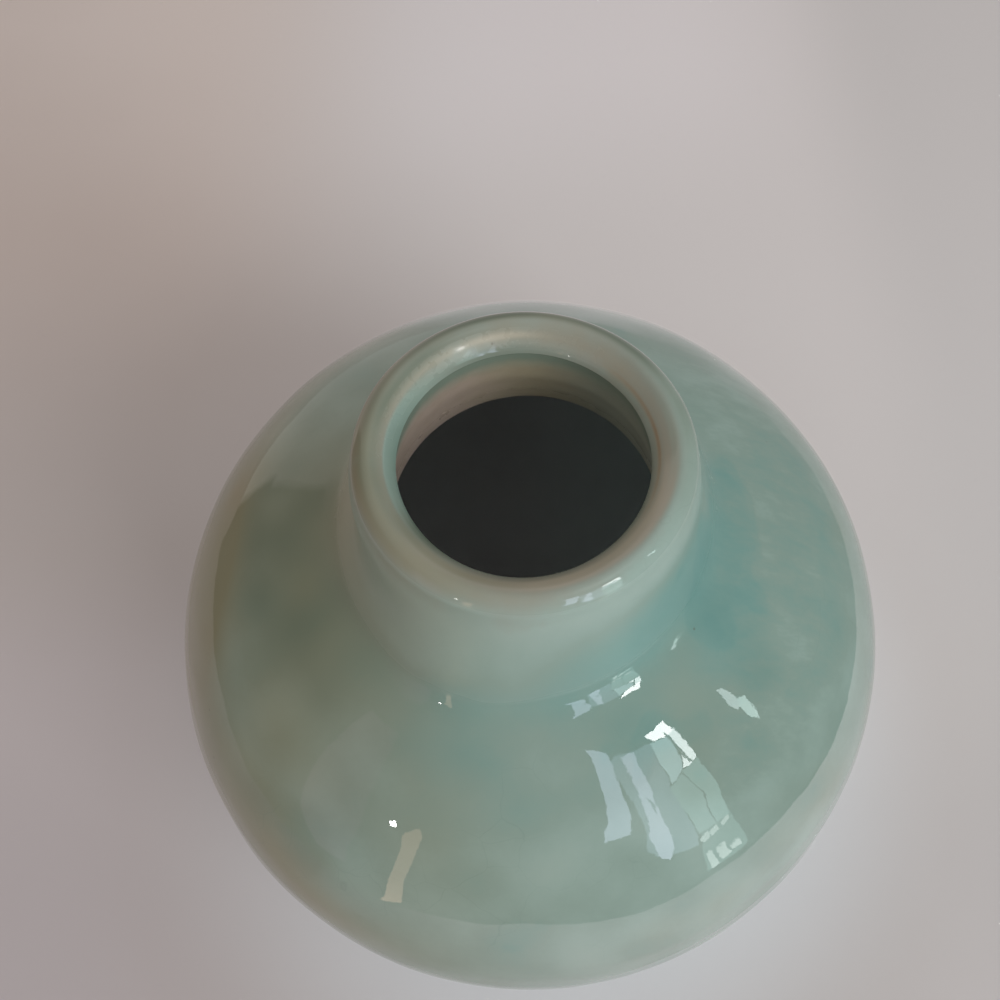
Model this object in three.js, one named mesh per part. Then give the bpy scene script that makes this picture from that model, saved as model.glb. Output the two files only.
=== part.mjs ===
// Small celadon pottery vase: a globular body on a low turned foot, a short
// tapering neck and a thick rolled lip.
//
// A glazed pot has no screws or hinges. Its pieces are the clay sections that the
// potter makes one by one and lutes together, and the glaze coats that are poured
// or dipped on and fused to the clay in the firing:
//   foot_ring    clay ring under the body, keyed into a groove turned in its base
//   lower_body   thrown lower bowl with the floor, ridge along its rim
//   upper_body   thrown upper bowl, V groove in its rim, opening at its top
//   neck_collar  neck with the rolled lip, spigot hanging in the upper opening
//   glaze_outer  thick celadon coat, from above the bare foot edge up over the lip
//   glaze_inner  thin coat over the whole inside, poured in and out through the neck
//   glaze_base   coat in the recess inside the foot ring
//
// Millimetres, +Z up. The origin is the centre of the foot ring's bearing face.

import * as THREE from 'three';

// ---------------------------------------------------------------- dimensions
const SEGMENTS = 48;            // facets round the pot, a multiple of four

const MAX_R = 52.0;             // widest radius, over the glaze
const EQUATOR_Z = 44.0;         // height of the widest circle

// outer surface over the glaze: [radius of curvature, normal elevation reached, steps]
const BELLY_UP = [[45.24, 24, 2], [41.6, 36, 1], [43.7, 46, 1], [80.6, 53.5, 1]];
const BELLY_DOWN = [[45.0, -30, 2], [37.0, -62, 2]];

const FILLET_R = 23.4;          // where the shoulder ends and the neck's hollow curve starts
const FILLET_RHO = 6.8;         // radius of that hollow curve
const NECK_LEAN = 20;           // neck wall leans in by this many degrees at its foot
const NECK_MIDDLE = [19.74, 95.3, 14];  // half-way up the neck wall, and its lean there

const LIP_R = 16.4;             // centre circle of the rolled lip
const LIP_Z = 99.2;
const LIP_TUBE = 2.55;          // radius of the roll
const LIP_START = 8;            // the neck wall runs into the roll here, without an undercut

const FOOT_OUT = [[26.5, 5.0], [25.35, 3.9], [25.0, 1.4]];   // glazed foot, outer side
const GLAZE_BODY = 0.6;         // glaze thickness on the belly and shoulder
const GLAZE_POOL = 1.0;         // thicker where it pools at the foot of the neck
const GLAZE_LIP = 0.4;          // thin on the lip
const GLAZE_IN = 0.35;          // thin inside

const FOOT_TOP_Z = 4.6;         // underside of the lower bowl
const FOOT_IN_R = 19.0;         // inner wall of the foot ring
const BEARING_IN_R = 20.0;      // flat face that the pot stands on
const BEARING_OUT_R = 23.4;
const KEY_IN_R = 21.2;          // key of the foot ring in the bowl's base
const KEY_OUT_R = 22.8;
const KEY_H = 0.9;
const BASE_GLAZE_END_Z = 1.5;

const RIDGE_H = 2.0;            // ridge and groove of the seam at the waist
const SPIGOT_R = 20.6;          // collar's spigot in the opening of the upper bowl

const IN_R = 47.3;              // widest radius of the inside, in the clay
const IN_UP = [[40.9, 24, 2], [37.3, 36, 1], [39.4, 46, 1], [76.3, 53.5, 1]];
const IN_DOWN = [[40.8, -30, 2], [33.0, -62, 2]];
const FLOOR_EDGE = [20.0, 9.1];
const FLOOR_Z = 8.8;
const THROAT = [16.6, 85.4];    // lower end of the neck's inner wall, over the glaze

// ------------------------------------------------------------------- helpers
const rad = (deg) => deg * Math.PI / 180;

// A profile point carries its place and the elevation of its outward normal.
const pt = (r, z, th) => ({ r, z, th });

// Follow arcs of given radius of curvature from a start point at normal elevation 0.
function follow(r, z, arcs) {
  const out = [];
  let th = 0;
  for (const [rho, thEnd, steps] of arcs) {
    const r0 = r, z0 = z, th0 = th;
    for (let i = 1; i <= steps; i++) {
      const t = th0 + (thEnd - th0) * i / steps;
      r = r0 - rho * (Math.cos(rad(th0)) - Math.cos(rad(t)));
      z = z0 + rho * (Math.sin(rad(t)) - Math.sin(rad(th0)));
      out.push(pt(r, z, t));
    }
    th = thEnd;
  }
  return out;
}

// The point d below the surface, measured along the normal.
const under = (p, d) => pt(p.r - d * Math.cos(rad(p.th)), p.z - d * Math.sin(rad(p.th)), p.th);

// Closed ring or disc from profile points in counter-clockwise order (outside going up).
function turned(name, points, material) {
  const v = points.map((p) => new THREE.Vector2(Array.isArray(p) ? p[0] : p.r, Array.isArray(p) ? p[1] : p.z));
  const onAxis = v[0].x === 0 && v[v.length - 1].x === 0;
  if (!onAxis) v.push(v[0].clone());
  const g = new THREE.LatheGeometry(v, SEGMENTS);
  g.rotateX(Math.PI / 2);
  const m = new THREE.Mesh(g, material);
  m.name = name;
  return m;
}

// ------------------------------------------------- outer surface over the glaze
const waist = pt(MAX_R, EQUATOR_Z, 0);
const up = follow(MAX_R, EQUATOR_Z, BELLY_UP);
const down = follow(MAX_R, EQUATOR_Z, BELLY_DOWN);

// the shoulder runs straight to the hollow curve at the foot of the neck
const last = up[up.length - 1];
const filletStart = pt(FILLET_R, last.z + (last.r - FILLET_R) * Math.tan(rad(90 - last.th)), last.th);
const fillet = [37, NECK_LEAN].map((t) => pt(
  filletStart.r - FILLET_RHO * (Math.cos(rad(t)) - Math.cos(rad(filletStart.th))),
  filletStart.z + FILLET_RHO * (Math.sin(rad(filletStart.th)) - Math.sin(rad(t))), t));
const neckMiddle = pt(...NECK_MIDDLE);
const lip = [LIP_START, 35, 63, 90, 114, 138, 160, 180].map((t) => pt(
  LIP_R + LIP_TUBE * Math.cos(rad(t)), LIP_Z + LIP_TUBE * Math.sin(rad(t)), t));

const footOut = [
  pt(FOOT_OUT[2][0], FOOT_OUT[2][1], 0),
  pt(FOOT_OUT[1][0], FOOT_OUT[1][1], -28),
  pt(FOOT_OUT[0][0], FOOT_OUT[0][1], -55),
];

// bottom to top, then over the lip to its inner side
const skin = [...footOut, ...down.slice().reverse(), waist, ...up, filletStart, ...fillet, neckMiddle, ...lip];
const iWaist = skin.indexOf(waist);
const iFillet = skin.indexOf(filletStart);
const iLip = skin.indexOf(lip[0]);

// ------------------------------------------------------- clay under that glaze
const thickness = skin.map((p, i) => (i >= iLip ? GLAZE_LIP : (i >= iFillet - 1 && i <= iFillet + 1) ? GLAZE_POOL : GLAZE_BODY));
const clay = skin.map((p, i) => under(p, thickness[i]));
clay[0] = pt(clay[0].r, skin[0].z, 0);                       // glaze ends in a level edge
clay[clay.length - 1] = pt(LIP_R - LIP_TUBE + GLAZE_LIP, LIP_Z, 180);
const iFootJoint = 1;                                        // clay[1] is moved to the joint's height
clay[iFootJoint] = pt(clay[iFootJoint].r + 0.15, FOOT_TOP_Z, -28);

// ------------------------------------------------------------ inside, in the clay
const inUp = follow(IN_R, EQUATOR_Z, IN_UP);
const inDown = follow(IN_R, EQUATOR_Z, IN_DOWN);
const inLast = inUp[inUp.length - 1];
const ceiling = pt(SPIGOT_R, inLast.z + (inLast.r - SPIGOT_R) * Math.tan(rad(90 - inLast.th)), inLast.th);
const spigotIn = pt(THROAT[0] + GLAZE_IN + 0.15, ceiling.z, 90);
const throat = pt(THROAT[0] + GLAZE_IN, THROAT[1], 0);
const neckIn = pt(15.05 + GLAZE_IN, 92.6, 0);
const lipIn = clay[clay.length - 1];

// ------------------------------------------------------------------ materials
const clayMat = () => new THREE.MeshStandardMaterial({ color: '#b79a80', roughness: 0.9, metalness: 0 });
const footMat = () => new THREE.MeshStandardMaterial({ color: '#a8805f', roughness: 0.92, metalness: 0 });
const glazeMat = (color, roughness) => new THREE.MeshStandardMaterial({ color, roughness, metalness: 0 });

// --------------------------------------------------------------------- pieces
const vase = new THREE.Group();

// foot ring: flat bearing face, small chamfers, key on its top face
vase.add(turned('foot_ring', [
  [BEARING_IN_R, 0], [BEARING_OUT_R, 0], [clay[0].r, clay[0].z], clay[iFootJoint],
  [KEY_OUT_R, FOOT_TOP_Z], [KEY_OUT_R, FOOT_TOP_Z + KEY_H], [KEY_IN_R, FOOT_TOP_Z + KEY_H], [KEY_IN_R, FOOT_TOP_Z],
  [FOOT_IN_R, FOOT_TOP_Z], [FOOT_IN_R, BASE_GLAZE_END_Z],
], footMat()));

// lower bowl: groove for the foot ring's key, ridge on its rim
const rimOut = clay[iWaist].r, rimIn = IN_R, rimMid = (rimOut + rimIn) / 2, ridgeHalf = 1.0;
vase.add(turned('lower_body', [
  [0, FOOT_TOP_Z], [KEY_IN_R, FOOT_TOP_Z], [KEY_IN_R, FOOT_TOP_Z + KEY_H], [KEY_OUT_R, FOOT_TOP_Z + KEY_H], [KEY_OUT_R, FOOT_TOP_Z],
  ...clay.slice(iFootJoint, iWaist + 1),
  [rimMid + ridgeHalf, EQUATOR_Z], [rimMid, EQUATOR_Z + RIDGE_H], [rimMid - ridgeHalf, EQUATOR_Z],
  [rimIn, EQUATOR_Z], ...inDown, FLOOR_EDGE, [0, FLOOR_Z],
], clayMat()));

// upper bowl: V groove over the ridge, level seat and round opening for the collar
vase.add(turned('upper_body', [
  [rimIn, EQUATOR_Z], [rimMid - ridgeHalf, EQUATOR_Z], [rimMid, EQUATOR_Z + RIDGE_H], [rimMid + ridgeHalf, EQUATOR_Z],
  ...clay.slice(iWaist, iFillet + 1),
  [SPIGOT_R, clay[iFillet].z], ceiling, ...inUp.slice().reverse(),
], clayMat()));

// neck collar: spigot in the opening, shoulder on the seat, neck and rolled lip
vase.add(turned('neck_collar', [
  spigotIn, ceiling, [SPIGOT_R, clay[iFillet].z],
  ...clay.slice(iFillet), neckIn, throat,
], clayMat()));

// outer glaze
vase.add(turned('glaze_outer', [...skin, ...clay.slice().reverse()], glazeMat('#8ea79b', 0.12)));

// inner glaze: one coat from the lip's inner side down over the floor
const inside = [...inDown.slice().reverse(), pt(IN_R, EQUATOR_Z, 0), ...inUp];
vase.add(turned('glaze_inner', [
  [0, FLOOR_Z], FLOOR_EDGE, ...inside, ceiling, spigotIn, throat, neckIn, lipIn,
  [LIP_R - LIP_TUBE, LIP_Z], [neckIn.r - GLAZE_IN, neckIn.z], [throat.r - GLAZE_IN, throat.z],
  [spigotIn.r - GLAZE_IN, ceiling.z - GLAZE_IN], [ceiling.r - 0.1, ceiling.z - GLAZE_IN],
  ...inside.slice().reverse().map((p) => under(p, GLAZE_IN)),
  [FLOOR_EDGE[0], FLOOR_EDGE[1] + GLAZE_IN], [0, FLOOR_Z + GLAZE_IN],
], glazeMat('#6f7d72', 0.25)));

// glaze in the recess of the foot
vase.add(turned('glaze_base', [
  [0, FOOT_TOP_Z - 0.4], [FOOT_IN_R - 1.0, FOOT_TOP_Z - 0.4], [FOOT_IN_R - 0.4, FOOT_TOP_Z - 0.9],
  [FOOT_IN_R - 0.3, BASE_GLAZE_END_Z], [FOOT_IN_R, BASE_GLAZE_END_Z], [FOOT_IN_R, FOOT_TOP_Z], [0, FOOT_TOP_Z],
], glazeMat('#8ea79b', 0.15)));

export default vase;
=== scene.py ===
import math

import bpy
import numpy as np
from mathutils import Matrix, Vector


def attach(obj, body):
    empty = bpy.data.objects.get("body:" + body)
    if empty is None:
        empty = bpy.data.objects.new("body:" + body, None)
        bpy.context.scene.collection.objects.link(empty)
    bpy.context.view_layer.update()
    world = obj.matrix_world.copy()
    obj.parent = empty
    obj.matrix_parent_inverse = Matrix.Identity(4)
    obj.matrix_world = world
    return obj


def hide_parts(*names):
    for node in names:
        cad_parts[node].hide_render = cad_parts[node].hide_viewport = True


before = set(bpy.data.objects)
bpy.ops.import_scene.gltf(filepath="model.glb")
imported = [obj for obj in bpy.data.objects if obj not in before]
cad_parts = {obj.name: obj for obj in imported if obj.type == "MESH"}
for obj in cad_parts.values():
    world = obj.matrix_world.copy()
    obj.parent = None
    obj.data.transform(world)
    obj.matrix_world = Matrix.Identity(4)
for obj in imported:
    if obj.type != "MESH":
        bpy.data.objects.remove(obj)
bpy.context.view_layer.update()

MM = 0.001
N = 360                     # columns round the pot, the same on every piece

# ---------------------------------------------------------------- the camera
# the photograph's viewpoint: above and in front, close to the pot
EQ_Z, MAX_R = 44.0, 52.0
FOCAL_PX = 1000.0
CAM_E, CAM_YAW, CAM_ROLL = math.radians(63.5), math.radians(-3.10), math.radians(-3.95)
CAM_D, CAM_H = 3.073 * MAX_R, math.radians(70.7)

cam_data = bpy.data.cameras.new("camera")
cam_data.sensor_width = 36.0
cam_data.lens = 36.0 * FOCAL_PX / 1000.0
cam_data.clip_start = 0.01
cam_data.clip_end = 20.0
cam = bpy.data.objects.new("camera", cam_data)
bpy.context.scene.collection.objects.link(cam)
c_pos = Vector((0, -CAM_D * math.cos(CAM_H), EQ_Z + CAM_D * math.sin(CAM_H))) * MM
fw = Vector((math.sin(CAM_YAW) * math.cos(CAM_E), math.cos(CAM_YAW) * math.cos(CAM_E), -math.sin(CAM_E)))
right = Vector((math.cos(CAM_YAW), -math.sin(CAM_YAW), 0))
up = right.cross(fw)
r2 = math.cos(CAM_ROLL) * right + math.sin(CAM_ROLL) * up
u2 = -math.sin(CAM_ROLL) * right + math.cos(CAM_ROLL) * up
cam.matrix_world = Matrix((
    (r2.x, u2.x, -fw.x, c_pos.x),
    (r2.y, u2.y, -fw.y, c_pos.y),
    (r2.z, u2.z, -fw.z, c_pos.z),
    (0, 0, 0, 1)))
bpy.context.scene.camera = cam


# ------------------------------------------------------------ small maths kit
def smooth(a, b, x):
    t = np.clip((np.asarray(x, float) - a) / (b - a), 0, 1)
    return t * t * (3 - 2 * t)


def bump(x, centre, width):
    return np.exp(-((np.asarray(x, float) - centre) / width) ** 2)


def around(phi, centre, width):
    """1 at the azimuth centre (degrees), falling off to both sides, the same after a full turn."""
    d = (np.degrees(phi) - centre + 180) % 360 - 180
    return np.exp(-(d / width) ** 2)


class Waves:
    """A smooth random field in space: a sum of plane waves, seeded."""

    def __init__(self, seed, low, high, count=28, squash_z=1.0):
        rng = np.random.default_rng(seed)
        d = rng.normal(size=(count, 3))
        d /= np.linalg.norm(d, axis=1)[:, None]
        lam = np.exp(rng.uniform(np.log(low), np.log(high), count))
        self.k = d * (2 * np.pi / lam)[:, None]
        self.k[:, 2] *= squash_z
        self.p = rng.uniform(0, 2 * np.pi, count)
        self.n = math.sqrt(2.0 / count)

    def __call__(self, P):
        out = np.zeros(len(P))
        for k, p in zip(self.k, self.p):
            out += np.sin(P @ k + p)
        return out * self.n


# --------------------------------------------------------------- the profiles
def follow(arcs, r=MAX_R, z=EQ_Z, th=0.0, step=0.35):
    """Arcs of (radius, normal elevation reached) from the widest circle."""
    out = []
    for rho, te in arcs:
        n = max(2, int(abs(math.radians(te - th)) * rho / step))
        r0, z0 = r, z
        for i in range(1, n + 1):
            t = th + (te - th) * i / n
            r = r0 - rho * (math.cos(math.radians(th)) - math.cos(math.radians(t)))
            z = z0 + rho * (math.sin(math.radians(t)) - math.sin(math.radians(th)))
            out.append((r, z))
        th = te
    return out


def run(table, r, z, n0, step=0.12):
    """Walks up the wall while the normal's elevation goes through (length, elevation) steps."""
    out = []
    for length, n1 in table:
        m = max(2, int(length / step))
        for i in range(1, m + 1):
            n = math.radians(n0 + (n1 - n0) * (i - 0.5) / m)
            r -= math.sin(n) * length / m
            z += math.cos(n) * length / m
            out.append((r, z))
        n0 = n1
    return out


def hermite(a, na, b, nb, n):
    """A smooth curve going up from a to b; na and nb are the normals' elevations at its ends."""
    L = math.dist(a, b)
    ta = (-math.sin(math.radians(na)) * L, math.cos(math.radians(na)) * L)
    tb = (-math.sin(math.radians(nb)) * L, math.cos(math.radians(nb)) * L)
    out = []
    for i in range(1, n + 1):
        t = i / n
        h = (2 * t ** 3 - 3 * t ** 2 + 1, t ** 3 - 2 * t ** 2 + t, -2 * t ** 3 + 3 * t ** 2, t ** 3 - t ** 2)
        out.append(tuple(h[0] * a[k] + h[1] * ta[k] + h[2] * b[k] + h[3] * tb[k] for k in (0, 1)))
    return out


def line(a, b, n):
    return [(a[0] + (b[0] - a[0]) * i / n, a[1] + (b[1] - a[1]) * i / n) for i in range(1, n + 1)]


def soften(P, widths):
    """Evens out curvature jumps. widths gives each point's smoothing length in mm; 0 keeps it."""
    P = np.array(P, float)
    w = np.asarray(widths, float)
    for _ in range(40):
        d = np.linalg.norm(np.diff(P, axis=0), axis=1)
        h = np.zeros(len(P))
        h[1:-1] = 0.5 * (d[:-1] + d[1:])
        c = np.clip((w / np.maximum(h, 1e-6)) ** 2 / 40, 0, 0.24)
        lap = np.zeros_like(P)
        lap[1:-1] = (P[2:] - P[1:-1]) / d[1:, None] - (P[1:-1] - P[:-2]) / d[:-1, None]
        P[1:-1] += (c[1:-1] * h[1:-1])[:, None] * lap[1:-1]
    return P


def resample(P, spacing):
    """Points along the polyline P at the spacing that spacing(r, z) gives."""
    P = np.array(P, float)
    s = np.r_[0, np.cumsum(np.linalg.norm(np.diff(P, axis=0), axis=1))]
    dens = 1.0 / np.array([spacing(r, z) for r, z in P])
    c = np.r_[0, np.cumsum(0.5 * (dens[1:] + dens[:-1]) * np.diff(s))]
    n = int(round(c[-1]))
    t = np.interp(np.linspace(0, c[-1], n + 1), c, s)
    return np.stack([np.interp(t, s, P[:, 0]), np.interp(t, s, P[:, 1])], -1)


UP = follow([(45.24, 24), (41.6, 36), (43.7, 46)])
SHOULDER = run([(5.67, 49.5), (5.9, 56.2), (1.7, 60.5), (1.7, 59.8), (1.75, 54.0), (2.3, 20.5)], *UP[-1], 46)
# the lip: a full round outside, a tighter crest, then a long slope down into the mouth
LIP_R, LIP_Z = 16.4, 99.2
LIP = [(18.925, 99.555)]
LIP += follow([(2.6, 70), (0.856, 127), (11.95, 143), (0.7, 180)], *LIP[0], 8, 0.08)
MOUTH_R, MOUTH_Z = LIP[-1]
NECK = hermite(SHOULDER[-1], 21.0, LIP[0], 8, 60)
DOWN = follow([(45.0, -30), (37.0, -62)])
FOOT = [(26.5, 5.0), (25.35, 3.9), (25.0, 1.4)]
low_part = line(DOWN[-1], FOOT[0], 12) + line(FOOT[0], FOOT[1], 6) + line(FOOT[1], FOOT[2], 10)

outer = np.array(low_part[::-1] + DOWN[::-1] + [(MAX_R, EQ_Z)] + UP + SHOULDER + NECK + LIP[1:])
keep = np.r_[True, np.linalg.norm(np.diff(outer, axis=0), axis=1) > 1e-4]
outer = outer[keep]


def width_at(r, z):
    if z > 96.4:
        return 0.3
    if z > 84:
        return 0.35
    if z > 72:
        return 1.0
    if z < 9:
        return 0.8
    return 2.2


outer = soften(outer, [width_at(r, z) for r, z in outer])
OUT = resample(outer, lambda r, z: 0.2 if z > 96.5 else 0.3 if z > 83 else 0.55 if z > 76 else 0.35 if z < 7 else 0.85)
OUT = np.concatenate([OUT[:-1], [OUT[-1] + (OUT[-2] - OUT[-1]) * 0.1], OUT[-1:]])      # keeps the last turn's shading narrow


def normals_of(P, closed=False):
    """Outward normals in the profile's plane, for a profile that goes up on the outside."""
    if closed:
        t = np.roll(P, -1, 0) - np.roll(P, 1, 0)
    else:
        t = np.gradient(P, axis=0)
    n = np.stack([t[:, 1], -t[:, 0]], -1)
    return n / np.maximum(np.linalg.norm(n, axis=1), 1e-9)[:, None]


OUT_N = normals_of(OUT)
OUT_S = np.r_[0, np.cumsum(np.linalg.norm(np.diff(OUT, axis=0), axis=1))]

# the clay under the glaze, as in the CAD
thick = np.interp(OUT[:, 1], [0, 3, 8, 80, 84.5, 88.5, 92, 97, 99, 102], [0.55, 0.6, 0.6, 0.6, 0.9, 1.0, 0.7, 0.5, 0.4, 0.4])
CLAY = OUT - OUT_N * thick[:, None]

PHI = np.linspace(0, 2 * np.pi, N, endpoint=False)


# ----------------------------------------------------------- the hand's marks
w_round = Waves(11, 60, 160, 10)
w_soft = Waves(21, 12, 30, 30)
w_mid = Waves(22, 4.5, 9, 40)
w_pool = Waves(23, 7, 20, 30)
w_edge = Waves(24, 3, 10, 24)
w_ring = Waves(25, 20, 60, 12)


def deform(P):
    """The whole pot's slight loss of roundness, shared by all its pieces. Points in mm."""
    x, y, z = P.T
    r = np.hypot(x, y)
    phi = np.arctan2(y, x)
    k = smooth(2, 30, z)
    dr = r * (0.0016 * np.cos(2 * (phi - 0.6)) + 0.0009 * np.cos(3 * (phi + 0.4))) * k
    lift = smooth(84, 99, z)
    dz = lift * (0.10 * np.cos(2 * phi + 0.7) + 0.07 * np.cos(3 * phi - 1.1))
    dr = dr + lift * 0.06 * np.cos(4 * phi + 0.3)
    f = (r + dr) / np.maximum(r, 1e-9)
    # the neck's foot is oval, pinched left and right when it was luted on; its bore and the lip run true
    oval = -1.06 + 0.09 * np.cos(phi) + 0.12 * np.sin(phi) - 0.87 * np.cos(2 * phi) + 0.44 * np.sin(2 * phi)
    push = oval * smooth(76, 86.5, z) * (1 - smooth(90, 98, z))
    push = push + 0.85 * around(phi, -112, 16) * smooth(81, 87, z) * (1 - smooth(88, 98, z))
    push = push - 0.9 * around(phi, 180, 42) * smooth(86, 91.5, z) * (1 - smooth(93, 98, z))
    f = f + push * smooth(15, 20.5, r) / np.maximum(r, 1e-9)
    return np.stack([x * f, y * f, z + dz], -1)


def spin(profile):
    """(M, N, 3) points of a profile turned round the axis, in mm."""
    r, z = profile[:, 0], profile[:, 1]
    return np.stack([
        r[:, None] * np.cos(PHI), r[:, None] * np.sin(PHI), np.repeat(z[:, None], N, 1)], -1)


def spin_normals(n):
    return np.stack([
        n[:, 0][:, None] * np.cos(PHI), n[:, 0][:, None] * np.sin(PHI), np.repeat(n[:, 1][:, None], N, 1)], -1)


def build(name, rows, attrs=None, closed=True, pole_a=None, pole_b=None):
    """A mesh from rows of points (M, N, 3) in mm. closed joins the last row to the first;
    otherwise pole_a and pole_b close its two ends on the axis."""
    M = len(rows)
    V = deform(rows.reshape(-1, 3)) * MM
    idx = np.arange(M * N).reshape(M, N)
    nxt = np.roll(idx, -1, 1)
    a, b = (idx, np.roll(idx, -1, 0)) if closed else (idx[:-1], idx[1:])
    a2, b2 = (nxt, np.roll(nxt, -1, 0)) if closed else (nxt[:-1], nxt[1:])
    quads = np.stack([a, a2, b2, b], -1).reshape(-1, 4)
    faces = quads.tolist()
    verts = V.tolist()
    if not closed:
        verts.append([0, 0, pole_a * MM])
        pa = len(verts) - 1
        faces += [[pa, int(nxt[0, j]), int(idx[0, j])] for j in range(N)]
        verts.append([0, 0, pole_b * MM])
        pb = len(verts) - 1
        faces += [[pb, int(idx[-1, j]), int(nxt[-1, j])] for j in range(N)]
    me = bpy.data.meshes.new(name)
    me.from_pydata(verts, [], faces)
    me.validate()
    me.polygons.foreach_set("use_smooth", [True] * len(me.polygons))
    for key, val in (attrs or {}).items():
        at = me.attributes.new(key, "FLOAT", "POINT")
        v = np.asarray(val, np.float32).reshape(-1)
        if not closed:
            v = np.r_[v, v[0], v[-1]].astype(np.float32)
        at.data.foreach_set("value", v)
    me.update()
    ob = bpy.data.objects.new(name, me)
    bpy.context.scene.collection.objects.link(ob)
    return ob


def place(ob, slot, mat, *nodes):
    ob.data.materials.append(mat)
    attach(ob, "root")
    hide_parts(*nodes)
    return ob


# ------------------------------------------------------------------ materials
def new_mat(name):
    m = bpy.data.materials.new(name)
    m.use_nodes = True
    t = m.node_tree
    t.nodes.clear()
    out = t.nodes.new("ShaderNodeOutputMaterial")
    p = t.nodes.new("ShaderNodeBsdfPrincipled")
    t.links.new(p.outputs["BSDF"], out.inputs["Surface"])
    return m, t, p


class G:
    """Short names for the node kinds that the materials use."""

    def __init__(self, tree):
        self.t = tree
        tc = tree.nodes.new("ShaderNodeTexCoord")
        s = tree.nodes.new("ShaderNodeVectorMath")
        s.operation = "SCALE"
        s.inputs["Scale"].default_value = 1000.0
        tree.links.new(tc.outputs["Object"], s.inputs[0])
        self.mm = s.outputs[0]                  # place in mm

    def link(self, a, b):
        self.t.links.new(a, b)

    def put(self, socket, v):
        if hasattr(v, "is_output"):
            self.link(v, socket)
        else:
            socket.default_value = v

    def math(self, op, a, b=0.0, c=0.0, clamp=False):
        n = self.t.nodes.new("ShaderNodeMath")
        n.operation = op
        n.use_clamp = clamp
        self.put(n.inputs[0], a)
        self.put(n.inputs[1], b)
        self.put(n.inputs[2], c)
        return n.outputs[0]

    def stretch(self, v, scale):
        n = self.t.nodes.new("ShaderNodeVectorMath")
        n.operation = "MULTIPLY"
        self.put(n.inputs[0], v)
        n.inputs[1].default_value = scale
        return n.outputs[0]

    def addv(self, a, b):
        n = self.t.nodes.new("ShaderNodeVectorMath")
        n.operation = "ADD"
        self.put(n.inputs[0], a)
        self.put(n.inputs[1], b)
        return n.outputs[0]

    def noise(self, size, detail=2.0, rough=0.5, v=None, dist=0.0, color=False):
        """Noise with blobs of about size mm, from 0 to 1."""
        n = self.t.nodes.new("ShaderNodeTexNoise")
        self.link(self.mm if v is None else v, n.inputs["Vector"])
        n.inputs["Scale"].default_value = 1.0 / size
        n.inputs["Detail"].default_value = detail
        n.inputs["Roughness"].default_value = rough
        n.inputs["Distortion"].default_value = dist
        return n.outputs["Color" if color else "Fac"]

    def voronoi(self, size, feature="F1", v=None, out="Distance"):
        n = self.t.nodes.new("ShaderNodeTexVoronoi")
        n.feature = feature
        self.link(self.mm if v is None else v, n.inputs["Vector"])
        n.inputs["Scale"].default_value = 1.0 / size
        return n.outputs[out]

    def ramp(self, fac, stops, interp="LINEAR"):
        n = self.t.nodes.new("ShaderNodeValToRGB")
        n.color_ramp.interpolation = interp
        e = n.color_ramp.elements
        while len(e) < len(stops):
            e.new(0.5)
        for el, (pos, col) in zip(e, stops):
            el.position = pos
            el.color = (*col, 1.0) if len(col) == 3 else col
        self.link(fac, n.inputs["Fac"])
        return n.outputs["Color"]

    def mix(self, fac, a, b, kind="MIX"):
        n = self.t.nodes.new("ShaderNodeMix")
        n.data_type = "RGBA"
        n.blend_type = kind
        self.put(n.inputs["Factor"], fac)
        self.put(n.inputs[6], a if hasattr(a, "is_output") else (*a, 1.0))
        self.put(n.inputs[7], b if hasattr(b, "is_output") else (*b, 1.0))
        return n.outputs[2]

    def range(self, v, a, b, c=0.0, d=1.0, smoothstep=False):
        n = self.t.nodes.new("ShaderNodeMapRange")
        n.interpolation_type = "SMOOTHSTEP" if smoothstep else "LINEAR"
        n.clamp = True
        self.put(n.inputs["Value"], v)
        for k, x in zip(("From Min", "From Max", "To Min", "To Max"), (a, b, c, d)):
            n.inputs[k].default_value = x
        return n.outputs["Result"]

    def attr(self, name):
        n = self.t.nodes.new("ShaderNodeAttribute")
        n.attribute_name = name
        return n.outputs["Fac"]

    def xyz(self):
        n = self.t.nodes.new("ShaderNodeSeparateXYZ")
        self.link(self.mm, n.inputs[0])
        return n.outputs

    def bump(self, height, distance, strength=1.0, normal=None):
        n = self.t.nodes.new("ShaderNodeBump")
        self.link(height, n.inputs["Height"])
        n.inputs["Distance"].default_value = distance
        n.inputs["Strength"].default_value = strength
        if normal is not None:
            self.link(normal, n.inputs["Normal"])
        return n.outputs["Normal"]


def srgb(r, g, b):
    f = lambda c: c / 12.92 if c <= 0.04045 else ((c + 0.055) / 1.055) ** 2.4
    return tuple(f(c / 255.0) for c in (r, g, b))


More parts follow.
